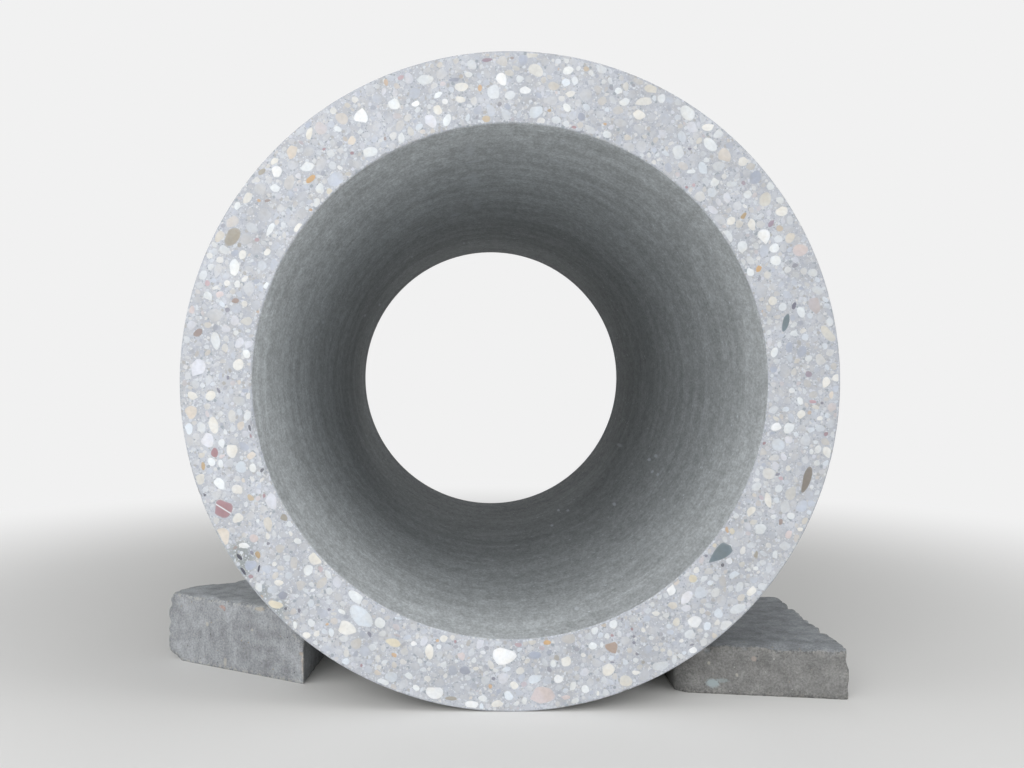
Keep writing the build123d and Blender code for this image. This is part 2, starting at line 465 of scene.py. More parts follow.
        (-165, 230, 7, 5, 20), (-181, 201, 6, 5, 90), (148, -249, 4, 4), (-43, -280, 12, 8, -10, -0.2),
    ],
    "yellow": [
        (-227, -216, 14, 8, -12), (-113, -253, 15, 8, -18), (215, -145, 7, 5, 90), (198, -159, 5, 4, 60),
        (177, -191, 9, 8, 40), (-175, 184, 6, 6),
    ],
    "orange": [
        (-241, -209, 5, 3.5, 60), (-177, -235, 3.5, 3), (-112, -265, 6, 4, -35), (-70, -251, 4, 3.5, 60),
        (36, -253, 8, 5, 5), (-19, -295, 5, 4, 95), (210, -144, 7, 4, 100), (241, 109, 8, 6, 80),
        (92, 249, 4, 3), (-29, 284, 7, 4, 85), (-193, 196, 11, 6, 45), (-193, 166, 4, 3),
        (-243, 175, 4, 3.5),
    ],
    "soft_blue": [
        (132, -230, 8, 7), (155, -243, 7, 6), (236, -192, 8, 7), (283, -121, 13, 10, 30),
        (-168, 196, 18, 13, 40),
    ],
    "slate": [
        (204, -166, 31, 13, 40, 0.45), (267, 57, 19, 6, 74),
    ],
    "purple": [
        (289, 7, 7, 6), (253, 153, 9, 5, 55), (226, 192, 5, 4, 140), (-22, 311, 11, 4, 5),
    ],
    "ash": [
        (295, 74, 19, 12, 100), (-109, -246, 8, 3, -25),
    ],
    "umber": [
        (287, -95, 28, 8, 72),
    ],
    "clay": [
        (99, -258, 14, 12, -65, -0.5),
    ],
    "soft_beige": [
        (-281, 140, 13, 8, 62), (286, -135, 9, 6, 45), (-234, -138, 16, 8, 110), (271, 139, 12, 8, 50),
        (157, -217, 11, 7, 5),
    ],
    "mid": [
        (-222, 168, 9, 8), (-286, 64, 17, 12, 20), (-253, 90, 16, 10, 103), (-312, 5, 9, 6, 95),
        (220, 170, 10, 8), (-283, 108, 16, 7, 75), (215, -213, 10, 6), (112, -251, 10, 8, 20),
        (286, -76, 8, 7), (255, -3, 6, 5),
    ],
}
# The stone with a slanting white vein, by its place in the list above
veined_stone = (-278, -123)
vein_tilt = -32

# Places where the ground is darker: right, up, reach in mm, strength. No stones are strewn in the core
# of the strong ones.
cement_patches = [
    (-260, -169, 21, 0.9), (-258, -185, 10, 0.7), (-239, -205, 12, 0.8), (-224, -221, 14, 0.85),
    (206, -160, 10, 0.35),
]
patch_colour = linear(156, 162, 163)
patch_core = 0.7             # share of a patch's reach
strong_patch = 0.5           # a patch stronger than this is a strong one

# Tints of the stones that nobody would single out, with how often each turns up
common_tints = {
    "mid": 30, "pale": 16, "soft_blue": 11, "soft_beige": 10, "lilac": 6, "blue_white": 7, "white": 8,
    "cream": 9, "beige": 6, "peach": 2.5, "pink": 2, "blue_grey": 4,
}
# Tints that only the smaller grades have besides, up to this size
rare_up_to = 8
rare_tints = {"grey": 9, "olive": 1.5, "tan": 1, "orange": 0.5, "rose": 0.6, "dark": 2, "bright": 2}
# Grades up to this size fade more into the cement
fine_up_to = 6
# The middle of a strewn stone stays this far from the bore and from the outside
strewn_from_bore = 2.5
strewn_from_outside = 3
# Longest size of each grade of gravel in millimetres, and how many stones of it are tried
near_grades = [(15, 220), (12, 700), (9, 2200), (7, 4500), (5.5, 7000), (4.4, 8000)]
far_grades = [(19, 500), (15, 900), (12, 1500), (9, 2200), (7, 2500)]

# Chips along the edges of the near face: degrees round from the right, half width in mm, depth in mm
outer_chips = [
    (200.3, 3.2, 1.6), (204.2, 2.0, 1.2), (290.4, 3.5, 1.4), (217.5, 2.5, 0.7), (143.5, 3.0, 0.6),
    (322.0, 3.0, 0.7), (251.0, 3.0, 0.7), (84.0, 3.0, 0.5), (30.0, 3.0, 0.6), (351.0, 3.0, 0.5),
]
inner_chips = [
    (188.5, 9.0, 1.2), (193.0, 12.0, 1.8), (198.0, 9.0, 1.6), (200.6, 3.0, 3.0), (190.3, 3.0, 3.2),
    (196.4, 2.5, 2.4), (244.2, 2.5, 1.9), (246.2, 2.5, 1.4), (249.2, 2.5, 1.3), (254.5, 3.0, 1.4),
    (73.9, 2.2, 2.2), (296.1, 2.5, 1.4), (299.2, 2.5, 1.3), (230.0, 3.0, 0.9), (168.0, 3.0, 0.9),
    (335.0, 3.0, 0.8), (12.0, 3.0, 0.8), (99.0, 3.0, 0.8), (119.0, 3.5, 0.9), (273.0, 3.0, 0.8),
]

# Pale marks on the bore: degrees round from the right, place along Y, reach round and along in mm, strength
bore_marks = [
    (100, -255, 8, 10, 0.6), (98, -340, 10, 7, 0.6), (104, -5, 9, 14, 0.5), (99, -400, 4, 40, 0.35),
    (98, -235, 4, 65, 0.35), (97, -55, 5, 65, 0.3), (118, -5, 12, 8, 0.5), (140, -215, 6, 8, 0.3),
    (77, -363, 10, 8, 0.3), (65, -304, 28, 8, 0.3), (50, -157, 9, 12, 0.3), (350, -250, 70, 5, 0.2),
    (200, -150, 80, 5, 0.2), (60, -60, 90, 5, 0.2), (128, -180, 60, 5, 0.2), (332, 265, 0, 40, 0.5),
    (124, -105, 0, 10, 0.7), (124, 220, 0, 15, 0.6), (102, 325, 0, 17, 0.5), (147, 370, 0, 18, 0.6),
    (154, 260, 0, 16, 0.7), (162, -130, 0, 12, 0.7), (169, -330, 0, 12, 0.6), (167, -150, 0, 9, 0.7),
    (332, -25, 0, 14, 0.9), (334, -55, 0, 16, 0.8), (329, -85, 0, 10, 0.9), (329, -125, 0, 10, 0.8),
    (313, -20, 0, 17, 0.9), (296, 215, 0, 15, 0.9), (299, 170, 0, 14, 0.8), (291, 105, 0, 13, 0.9),
    (287, -420, 0, 9, 0.8),
]


def ring_angles(count):
    return math.tau * np.arange(count) / count


def polar(points):
    """The distances and the angles of flat points from the origin."""
    return np.hypot(points[:, 0], points[:, 1]), np.arctan2(points[:, 1], points[:, 0])


def chip_depth(angles, radius, chips, seed):
    """How far the edge is knocked back at each angle, in mm: the chips and a slight unevenness."""
    depth = np.zeros(len(angles))
    for degrees, half_width, deepest in chips:
        away = (angles - math.radians(degrees) + math.pi) % math.tau - math.pi
        along = np.abs(away) * radius / half_width
        depth = np.maximum(depth, deepest * np.clip(1 - along**2, 0, None) ** 0.6)
    uneven = np.random.default_rng(seed).random(len(angles))
    uneven = (uneven + np.roll(uneven, 1) + np.roll(uneven, 2)) / 3
    return depth * (0.75 + 0.5 * uneven) + 0.35 * uneven


def stone_outline(long_size, short_size, tilt, taper, rng):
    """A rounded, slightly faceted outline about its own middle, in mm, counter-clockwise."""
    count = int(np.clip(round(4 + long_size), 8, 20))
    turn = math.tau * (np.arange(count) + rng.random()) / count
    along = np.cos(turn)
    lead = 0.5 + max(taper, 0)
    trail = 0.5 + max(-taper, 0)
    width = (1 + along) ** lead * (1 - along) ** trail
    widest = (2 * lead / (lead + trail)) ** lead * (2 * trail / (lead + trail)) ** trail
    across = np.sign(np.sin(turn)) * width / widest
    points = np.column_stack((along * long_size / 2, across * short_size / 2))
    lumps = 1 + 0.05 * np.cos(2 * turn + rng.uniform(0, 6)) + 0.035 * np.cos(3 * turn + rng.uniform(0, 6))
    points *= lumps[:, None]
    for _ in range(rng.integers(1, 5)):
        facing = rng.uniform(0, math.tau)
        normal = np.array((math.cos(facing), math.sin(facing)))
        reach = points @ normal
        limit = reach.max() * rng.uniform(0.72, 0.96)
        beyond = np.clip(reach - limit, 0, None)
        points -= beyond[:, None] * normal
    spin = math.radians(tilt)
    turned = np.array(((math.cos(spin), math.sin(spin)), (-math.sin(spin), math.cos(spin))))
    return points @ turned


def in_patch(right, up):
    """Whether a place on the sawn face lies in the core of a strong patch."""
    return any(
        math.hypot(right - patch_right, up - patch_up) < patch_core * reach
        for patch_right, patch_up, reach, strength in cement_patches
        if strength > strong_patch
    )


class Face:
    """One sawn end of the pipe, with the stones that have been laid on it. Millimetres."""

    cell = 0.5           # side of a cell of the grid that says which places are taken
    own_margin = 0.1     # how far round itself a stone takes places
    least_step = 0.25    # points of an outline that are closer than this are merged
    least_points = 5     # an outline with fewer points isn't laid

    def __init__(self, inner_edge, outer_edge, seed):
        self.inner_edge = inner_edge    # radius at each of the ring's angles
        self.outer_edge = outer_edge
        self.angles = ring_angles(len(inner_edge))
        self.rng = np.random.default_rng(seed)
        self.stones = []
        self.side = int(2 * outer_radius / self.cell) + 4
        self.taken = np.zeros((self.side, self.side), bool)

    def held_inside(self, points):
        """Press points that stick out over an edge of the face back onto it, and put them in order."""
        radius, angle = polar(points)
        low = np.interp(angle, self.angles, self.inner_edge, period=math.tau) + edge_gap
        high = np.interp(angle, self.angles, self.outer_edge, period=math.tau) - edge_gap
        points = points * (np.clip(radius, low, high) / radius)[:, None]
        points = points[np.argsort(polar(points - points.mean(0))[1])]
        step = np.hypot(*(points - np.roll(points, 1, axis=0)).T)
        return points[step > self.least_step]

    def footprint(self, points, margin):
        """The grid cells that an outline covers, as two slices and a mask."""
        low = points.min(0) - margin - self.cell
        high = points.max(0) + margin + self.cell
        first = np.floor((low + outer_radius) / self.cell).astype(int) + 1
        last = np.ceil((high + outer_radius) / self.cell).astype(int) + 2
        columns, rows = (slice(max(start, 0), min(end, self.side)) for start, end in zip(first, last))
        spans = (np.arange(span.start - 1, span.stop - 1) for span in (columns, rows))
        x, z = (span * self.cell - outer_radius for span in spans)
        middle = points.mean(0)
        x, z = x[None, :] - middle[0], z[:, None] - middle[1]
        reach, angle = polar(points - middle)
        order = np.argsort(angle)
        limit = np.interp(np.arctan2(z, x), angle[order], reach[order], period=math.tau) + margin
        return rows, columns, np.hypot(x, z) <= limit

    def lay(self, right, up, long_size, short_size, tilt, tint, taper=0.0, vein=None, blend=0.0):
        """Lay one stone if there is room for it. blend says how far it fades into the cement."""
        outline = stone_outline(long_size, short_size, tilt, taper, self.rng)
        points = self.held_inside(outline + (right, up))
        if len(points) < self.least_points:
            return False
        rows, columns, covered = self.footprint(points, stone_gap)
        if (self.taken[rows, columns] & covered).any():
            return False
        rows, columns, covered = self.footprint(points, self.own_margin)
        self.taken[rows, columns] |= covered
        self.stones.append(dict(points=points, tint=tint, vein=vein, size=long_size, blend=blend))
        return True

    def lay_noted(self, stones_by_tint):
        """Lay the listed stones, the largest first, smaller where two of them would touch."""
        rows = [(tint, *stone) for tint, stones in stones_by_tint.items() for stone in stones]
        rows.sort(key=lambda row: -row[3])
        for tint, right, up, long_size, short_size, *rest in rows:
            tilt, taper = (*rest, 0.0, 0.0)[:2]
            vein = vein_tilt if (right, up) == veined_stone else None
            for scale in (1.0, 0.93, 0.86, 0.79, 0.72, 0.62, 0.5):
                size = (long_size * scale, short_size * scale)
                if self.lay(right, up, *size, tilt, tint, taper, vein):
                    break

    def fill(self, grades):
        """Strew gravel of each grade in turn, the largest first, wherever it fits."""
        nearest = bore_radius + strewn_from_bore
        farthest = outer_radius - strewn_from_outside
        for longest, tries in grades:
            offered = common_tints if longest > rare_up_to else {**common_tints, **rare_tints}
            names = list(offered)
            odds = np.array(list(offered.values()), float)
            odds /= odds.sum()
            for _ in range(tries):
                angle = self.rng.uniform(0, math.tau)
                radius = math.sqrt(self.rng.uniform(bore_radius**2, outer_radius**2))
                long_size = longest * self.rng.uniform(0.74, 1.0)
                short_size = long_size * self.rng.uniform(0.55, 0.95)
                right = radius * math.cos(angle)
                up = radius * math.sin(angle)
                tilt = self.rng.uniform(0, 180)
                name = self.rng.choice(names, p=odds)
                taper = self.rng.uniform(-0.25, 0.25)
                if nearest < radius < farthest and not in_patch(right, up):
                    blend = self.rng.uniform(*((0.1, 0.6) if longest > fine_up_to else (0.3, 0.8)))
                    self.lay(right, up, long_size, short_size, tilt, name, taper, None, blend)


def face_plan(face):
    """Divide the face into triangles along the stones' outlines.

    Gives the flat points, the height of each over the cement, the triangles, the stone that each
    triangle belongs to or -1, and the places of the two edge loops among the points.
    """
    count = len(face.angles)
    turned = np.column_stack((np.cos(face.angles), np.sin(face.angles)))
    inner = turned * face.inner_edge[:, None]
    outer = turned * face.outer_edge[:, None]
    points = [inner, outer]
    heights = [np.zeros(2 * count)]
    areas = [list(range(count)), list(range(count, 2 * count))]
    start = 2 * count
    owners = {}
    for index, stone in enumerate(face.stones):
        rim = stone["points"]
        owners[len(areas)] = index
        loops = [(rim, 0.0)]
        if stone["size"] > proud_size:
            middle = rim.mean(0)
            loops.append((middle + (rim - middle) * proud_share, stone_rise))
        for loop, height in loops:
            areas.append(list(range(start, start + len(loop))))
            points.append(loop)
            heights.append(np.full(len(loop), height))
            start += len(loop)
    flat = np.concatenate(points)
    rise = np.concatenate(heights)
    vectors = [Vector(point) for point in flat.tolist()]
    result = delaunay_2d_cdt(vectors, [], areas, 0, 1e-5, True)
    new_points, _, triangles, source_points, _, source_areas = result
    new_flat = np.array([point[:] for point in new_points])
    new_rise = np.array([rise[source[0]] if source else 0.0 for source in source_points])
    kept = []
    stone_of = []
    for triangle, inside in zip(triangles, source_areas):
        if 1 in inside and 0 not in inside:
            kept.append(triangle)
            stone_of.append(next((owners[area] for area in inside if area in owners), -1))
    place_of = {source: index for index, sources in enumerate(source_points) for source in sources}
    inner_loop = [place_of[index] for index in range(count)]
    outer_loop = [place_of[index + count] for index in range(count)]
    return new_flat, new_rise, np.array(kept), np.array(stone_of), inner_loop, outer_loop


def make_face(ring, at_bore, at_outside, stones, grades, seeds):
    """One sawn face with the chips along its two edges, its noted stones and its strewn gravel."""
    angles = ring_angles(ring)
    inner = bore_radius + arris_ease + chip_depth(angles, bore_radius, at_bore, seeds[0])
    outer = outer_radius - arris_ease - chip_depth(angles, outer_radius, at_outside, seeds[1])
    face = Face(inner, outer, seeds[2])
    face.lay_noted(stones)
    face.fill(grades)
    return face


# What a face of the pipe is made of, in the order of the mesh's materials
CEMENT, STONE, BORE, OUTSIDE = range(4)
no_vein = 9.0    # a distance from a vein's middle, in mm, at which nothing of it shows


class Shell:
    """The pipe's surface as it is gathered: points, faces, and what each face is made of.

    layout holds, for each corner of each face, its place in the texture map.
    """

    def __init__(self):
        self.points = []
        self.faces = []
        self.kinds = []
        self.tints = []
        self.veins = []
        self.layout = []

    def add_points(self, points):
        first = len(self.points)
        self.points.extend(points)
        return list(range(first, first + len(points)))

    def add_face(self, corners, kind, colours, places, veins=None):
        self.faces.append(corners)
        self.kinds.append(kind)
        self.tints.append(colours)
        self.layout.append(places)
        self.veins.append(veins or [no_vein] * len(corners))


# Where each part of the surface lies in the square texture map: its lowest and highest v. The sawn
# faces are cut into equal arcs, one above the other, and straightened.
near_arcs = (4, 0.0, 0.5)
far_arcs = (2, 0.5, 0.62)
wall_spans = {BORE: (0.625, 0.825), OUTSIDE: (0.835, 0.955)}
# The rubbed-down edges of each wall, the near one and the far one
edge_spans = {BORE: ((0.960, 0.966), (0.980, 0.986)), OUTSIDE: ((0.970, 0.976), (0.990, 0.996))}
arc_margin = math.radians(3)


def across_map(share, mirrored):
    """A place across the texture map, kept off its border."""
    return 0.002 + 0.996 * (1 - share if mirrored else share)


def arc_places(points, arcs, mirrored):
    """The places in the texture map of one triangle of a sawn face, given flat points in mm."""
    count, low, high = arcs
    turn = math.tau / count
    middle = points.mean(0)
    middle_angle = math.atan2(middle[1], middle[0]) % math.tau
    arc = min(int(middle_angle / turn), count - 1)
    height = (high - low) / count
    places = []
    for x, z in points:
        angle = middle_angle + (math.atan2(z, x) - middle_angle + math.pi) % math.tau - math.pi
        along = (angle - arc * turn + arc_margin) / (turn + 2 * arc_margin)
        outward = (math.hypot(x, z) - bore_radius) / (outer_radius - bore_radius)
        places.append((across_map(along, mirrored), low + height * (arc + 0.02 + 0.96 * outward)))
    return places


bore_colour = linear(181, 185, 187)
# Painted light and shade: the bore is painted palest next to the near end and darkest at the far one,
# as light falls off into it: shares of its length, and how light it is there
bore_stations = (0.0, 0.4, 1.0)
bore_painted_light = (1.2, 1.06, 0.64)
outside_colour = linear(172, 173, 172)


def darker(colour, amount):
    """The colour times an amount, which is less than 1 to darken it."""
    return tuple(value * amount for value in colour)


def blended(colour, other, share):
    return tuple(value + share * (goal - value) for value, goal in zip(colour, other))


def ground_colour(right, up):
    """The cement's colour at a place on the near face, darker inside the patches."""
    colour = cement_colour
    for patch_right, patch_up, reach, strength in cement_patches:
        away = math.hypot(right - patch_right, up - patch_up) / reach
        share = strength * min(max(1.6 - 1.6 * away, 0.0), 1.0)
        colour = blended(colour, patch_colour, share)
    return colour


def add_face_mosaic(shell, face, level, inward):
    """Put one sawn face into the shell. inward is +1 where the pipe lies toward +Y of it."""
    flat, rise, triangles, stone_of, inner_loop, outer_loop = face_plan(face)
    depth = level + inward * (stone_rise - rise)
    places = shell.add_points([(x, y, z) for (x, z), y in zip(flat, depth)])
    ground = [ground_colour(x, z) if inward > 0 else cement_colour for x, z in flat]
    rng = np.random.default_rng(21)
    shades = rng.uniform(0.93, 1.05, len(face.stones))
    for triangle, owner in zip(triangles, stone_of):
        corners = [places[index] for index in triangle]
        if inward < 0:
            corners.reverse()
            triangle = triangle[::-1]
        layout = arc_places(flat[triangle], near_arcs if inward > 0 else far_arcs, inward < 0)
        if owner < 0:
            shell.add_face(corners, CEMENT, [ground[index] for index in triangle], layout)
            continue
        stone = face.stones[owner]
        colour = blended(darker(tints[stone["tint"]], shades[owner]), cement_colour, stone["blend"])
        rim = blended(colour, cement_colour, rim_share)
        colours = [colour if rise[index] > 0 else rim for index in triangle]
        veins = None
        if stone["vein"] is not None:
            lean = math.radians(stone["vein"])
            normal = np.array((-math.sin(lean), math.cos(lean)))
            veins = ((flat[triangle] - stone["points"].mean(0)) @ normal).tolist()
        shell.add_face(corners, STONE, colours, layout, veins)
    return [places[index] for index in inner_loop], [places[index] for index in outer_loop]


def add_band(shell, first, second, kind, colours, span, flip):
    """Join two rings of equal count, or a fine ring to one of half its count.

    colours and span give the colour and the v of the first ring and of the second.
    """
    count = len(second)
    fine = len(first) // count

    def corner(ring, index, step):
        place = (index + step / (fine if ring == 0 else 1)) / count
        source = first if ring == 0 else second
        where = index * fine + step if ring == 0 else index + step
        return source[where % len(source)], colours[ring], (across_map(place, flip), span[ring])

    for index in range(count):
        if fine == 1:
            faces = [[(0, 0), (0, 1), (1, 1), (1, 0)]]
        else:
            faces = [[(0, 0), (0, 1), (1, 0)], [(0, 1), (1, 1), (1, 0)], [(0, 1), (0, 2), (1, 1)]]
        for face in faces:
            if flip:
                face.reverse()
            corners = [corner(ring, index, step) for ring, step in face]
            ids, tint, layout = ([entry[part] for entry in corners] for part in range(3))
            shell.add_face(ids, kind, tint, layout)


def unevenness(angle, y, seed):
    """How far a wall's skin lies in the concrete at a place, as a share of the most that it can."""
    sample = Vector((math.cos(angle) * 3, y * 0.012, math.sin(angle) * 3 + seed))
    return abs(0.6 * noise.noise(sample) + 0.4 * noise.noise(sample * 7))


def add_wall(shell, kind, near_loop, far_loop, radius, rows, colour_at, skin):
    """The bore or the outside, from the near edge loop to the far one. rows are places along Y.

    The rubbed-down edges at both ends show ground cement. colour_at gives the wall's colour at a
    place along Y.
    """
    flip = kind == OUTSIDE
    into_concrete = -1 if flip else 1
    near_edge, far_edge = edge_spans[kind]
    start, end = near_face + arris_ease, far_face - arris_ease
    edge = np.array([shell.points[index] for index in near_loop])
    knocked = np.abs(np.hypot(edge[:, 0], edge[:, 2]) - radius) - arris_ease
    previous = shell.add_points([
        (radius * math.cos(angle), start + chip_slope * depth, radius * math.sin(angle))
        for angle, depth in zip(ring_angles(len(near_loop)), knocked)
    ])
    ground = darker(cement_colour, 0.95)
    add_band(shell, near_loop, previous, CEMENT, (ground, ground), near_edge, flip)
    stations = [start, *rows, end]
    heights = np.interp(stations, (start, end), wall_spans[kind])
    for index, y in enumerate(stations[1:], 1):
        points = []
        for angle in ring_angles(wall_ring):
            uneven = skin * unevenness(angle, y, radius) if y < end else 0.0
            reach = radius + into_concrete * uneven
            points.append((reach * math.cos(angle), y, reach * math.sin(angle)))
        current = shell.add_points(points)
        colours = (colour_at(stations[index - 1]), colour_at(y))
        add_band(shell, previous, current, kind, colours, (heights[index - 1], heights[index]), flip)
        previous = current
    add_band(shell, previous, far_loop, CEMENT, (cement_colour, cement_colour), far_edge, flip)


# The bore's colour at a place along Y, with the painted light and shade along its length
def bore_colour_at(y):
    along = (y - near_face) / (far_face - near_face)
    return darker(bore_colour, float(np.interp(along, bore_stations, bore_painted_light)))


def spaced_rows(count, growth):
    """Places along the pipe between its ends, closer together at the near end."""
    steps = np.linspace(0, 1, count + 2)[1:-1] ** growth
    return near_face + row_margin + steps * (far_face - near_face - 2 * row_margin)


def flattened(rows):
    """The entries of all rows in one array, one after another."""
    return np.array([entry for row in rows for entry in row])


def make_pipe():
    """The whole pipe as one closed mesh: two sawn faces, the bore, and the outside."""
    shell = Shell()
    near = make_face(fine_ring, inner_chips, outer_chips, noted_stones, near_grades, seeds=(3, 4, 11))
    far = make_face(wall_ring, [], [], {}, far_grades, seeds=(5, 6, 12))
    near_inner, near_outer = add_face_mosaic(shell, near, near_face, 1)
    far_inner, far_outer = add_face_mosaic(shell, far, far_face, -1)
    bore_rows = spaced_rows(count=56, growth=1.5)
    outside_rows = spaced_rows(count=34, growth=1.2)
    add_wall(shell, BORE, near_inner, far_inner, bore_radius, bore_rows, bore_colour_at, bore_skin)
    add_wall(shell, OUTSIDE, near_outer, far_outer, outer_radius, outside_rows, lambda y: outside_colour,
             outside_skin)

    mesh = bpy.data.meshes.new("concrete_pipe_cast")
    mesh.from_pydata((np.array(shell.points) * MM).tolist(), [], shell.faces)
    for make in (sawn_cement, sawn_stone, bore_wall, cast_outside):
        mesh.materials.append(make())
    mesh.polygons.foreach_set("material_index", shell.kinds)
    mesh.polygons.foreach_set("use_smooth", [True] * len(mesh.polygons))
    mesh.set_sharp_from_angle(angle=crease_angle)

    colours = flattened(shell.tints)
    tint = mesh.attributes.new("tint", "FLOAT_COLOR", "CORNER")
    tint.data.foreach_set("color", np.column_stack((colours, np.ones(len(colours)))).ravel())
    vein = mesh.attributes.new("vein", "FLOAT", "CORNER")
    vein.data.foreach_set("value", flattened(shell.veins))
    layout = mesh.uv_layers.new(name="OFBake")
    layout.data.foreach_set("uv", flattened(shell.layout).ravel())
    mesh.validate()
    return new_object("concrete_pipe_cast", mesh)


# Chocks

corner_angle = math.radians(25)    # a solid's faces that meet at more than this make an edge
crumb_spacing = 18.0    # mean distance between two crumbs along an edge, in mm
crumb_reach = (4.0, 12.0)    # reach of the smallest crumb and of the largest, in mm
crumb_depth = (0.9, 3.0)
floor_band = 1.2        # what is less than this far above the floor is pressed flat onto it, in mm


def sharp_edges(mesh):
    """The ends of each edge of a solid where two of its faces meet at an angle, in metres."""
    welded = bmesh.new()
    welded.from_mesh(mesh)
    bmesh.ops.remove_doubles(welded, verts=welded.verts, dist=0.01 * MM)
    edges = []
    for edge in welded.edges:
        if len(edge.link_faces) == 2 and edge.calc_face_angle() > corner_angle:
            edges.append((np.array(edge.verts[0].co), np.array(edge.verts[1].co)))
    welded.free()
    return edges


def crumbs_along(edges, rng):
    """Places along the edges, but not under the block, where a crumb has broken away.

    Each has its reach and depth in mm.
    """
    crumbs = []
    for start, end in edges:
        if max(start[2], end[2]) < floor_height + MM:
            continue
        length = np.linalg.norm(end - start) / MM
        for _ in range(rng.poisson(length / crumb_spacing)):
            place = start + (end - start) * rng.random()
            size = rng.pareto(2.2) + 1
            reach, depth = (min(least * size, most) for least, most in (crumb_reach, crumb_depth))
            crumbs.append((place / MM, reach, depth))
    return crumbs


def worn_meshes(piece, voxel_mm):
    """The block's mesh finely divided, and the same points again, rounded far more."""
    remesh = piece.modifiers.new("remesh", "REMESH")
    remesh.mode = "VOXEL"
    remesh.voxel_size = voxel_mm * MM
    smooth = piece.modifiers.new("smooth", "SMOOTH")
    smooth.factor = 0.5
    meshes = []
    for rounds in (4, 34):
        smooth.iterations = rounds
        meshes.append(mesh_of(piece))
    piece.modifiers.clear()
    return meshes


def press_in(points, normals, bites):
    """Press points of a surface in where it is bitten: a place in mm, the reach and the depth."""
    for place, reach, depth in bites:
        away = np.linalg.norm(points - np.array(place) * MM, axis=1) / (reach * MM)
        if away.min() > 1:
            continue
        push = np.clip(1 - away**2, 0, None) ** 2 * depth * MM
        outward = normals[away < 1].sum(0)
        points -= outward / np.linalg.norm(outward) * push[:, None]


def weathered_block(node_name, surface, bites, voxel_mm, wear, seed):
    """A finely divided copy of a chock's solid, with rounded, crumbled edges and a rough skin.

    wear says how unevenly the edges are rounded. bites are larger places where it has broken.
    """
    source = frame["nodes"][node_name]
    piece = new_object(node_name + "_worn", source.data.copy())
    piece.data.materials.clear()
    worn, rounded = worn_meshes(piece, voxel_mm)
    close = numbers(worn.vertices, "co", 3)
    rounding = numbers(rounded.vertices, "co", 3) - close
    normals = numbers(worn.vertices, "normal", 3)
    amount = np.empty(len(close))
    relief = np.empty(len(close))
    for index, point in enumerate(close):
        sample = Vector(point) / MM + Vector((seed, seed, seed))
        crumble = noise.noise(sample * 0.04) + 0.6 * noise.noise(sample * 0.15)
        amount[index] = min(max(0.2 + wear * crumble, 0.05), 0.9)
        relief[index] = 0.5 * abs(noise.noise(sample * 0.06)) + 0.5 * abs(noise.noise(sample * 0.3))
    moved = close + rounding * amount[:, None]
    crumbs = crumbs_along(sharp_edges(source.data), np.random.default_rng(seed))
    press_in(moved, normals, crumbs + bites)
    on_floor = close[:, 2] < floor_height + floor_band * MM
    relief[on_floor] = 0.0
    moved -= normals * (relief * MM)[:, None]
    moved = np.clip(moved, *(np.array(corner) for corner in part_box(node_name)))
    moved[on_floor, 2] = floor_height
    worn.vertices.foreach_set("co", moved.ravel())
    worn.polygons.foreach_set("use_smooth", [True] * len(worn.polygons))
    edge = worn.attributes.new("edge", "FLOAT", "POINT")
    edge.data.foreach_set("value", np.clip(np.linalg.norm(rounding, axis=1) / MM / 2, 0, 1))
    worn.update()
    worn.materials.append(surface)
    piece.data = worn
    return piece


def numbers(items, name, width):
    """All values of one property of a mesh's elements, one row for each."""
    values = np.empty(len(items) * width)
    items.foreach_get(name, values)
    return values.reshape(-1, width)


def mesh_of(piece):
    depsgraph = bpy.context.evaluated_depsgraph_get()
    depsgraph.update()
    return bpy.data.meshes.new_from_object(piece.evaluated_get(depsgraph))


edge_pale = linear(198, 195, 184)
grit_colours = [linear(176, 176, 172), linear(128, 128, 124), linear(108, 110, 112), linear(160, 152, 138)]
rust_orange = linear(206, 156, 134)
crumb_pale = linear(196, 192, 182)


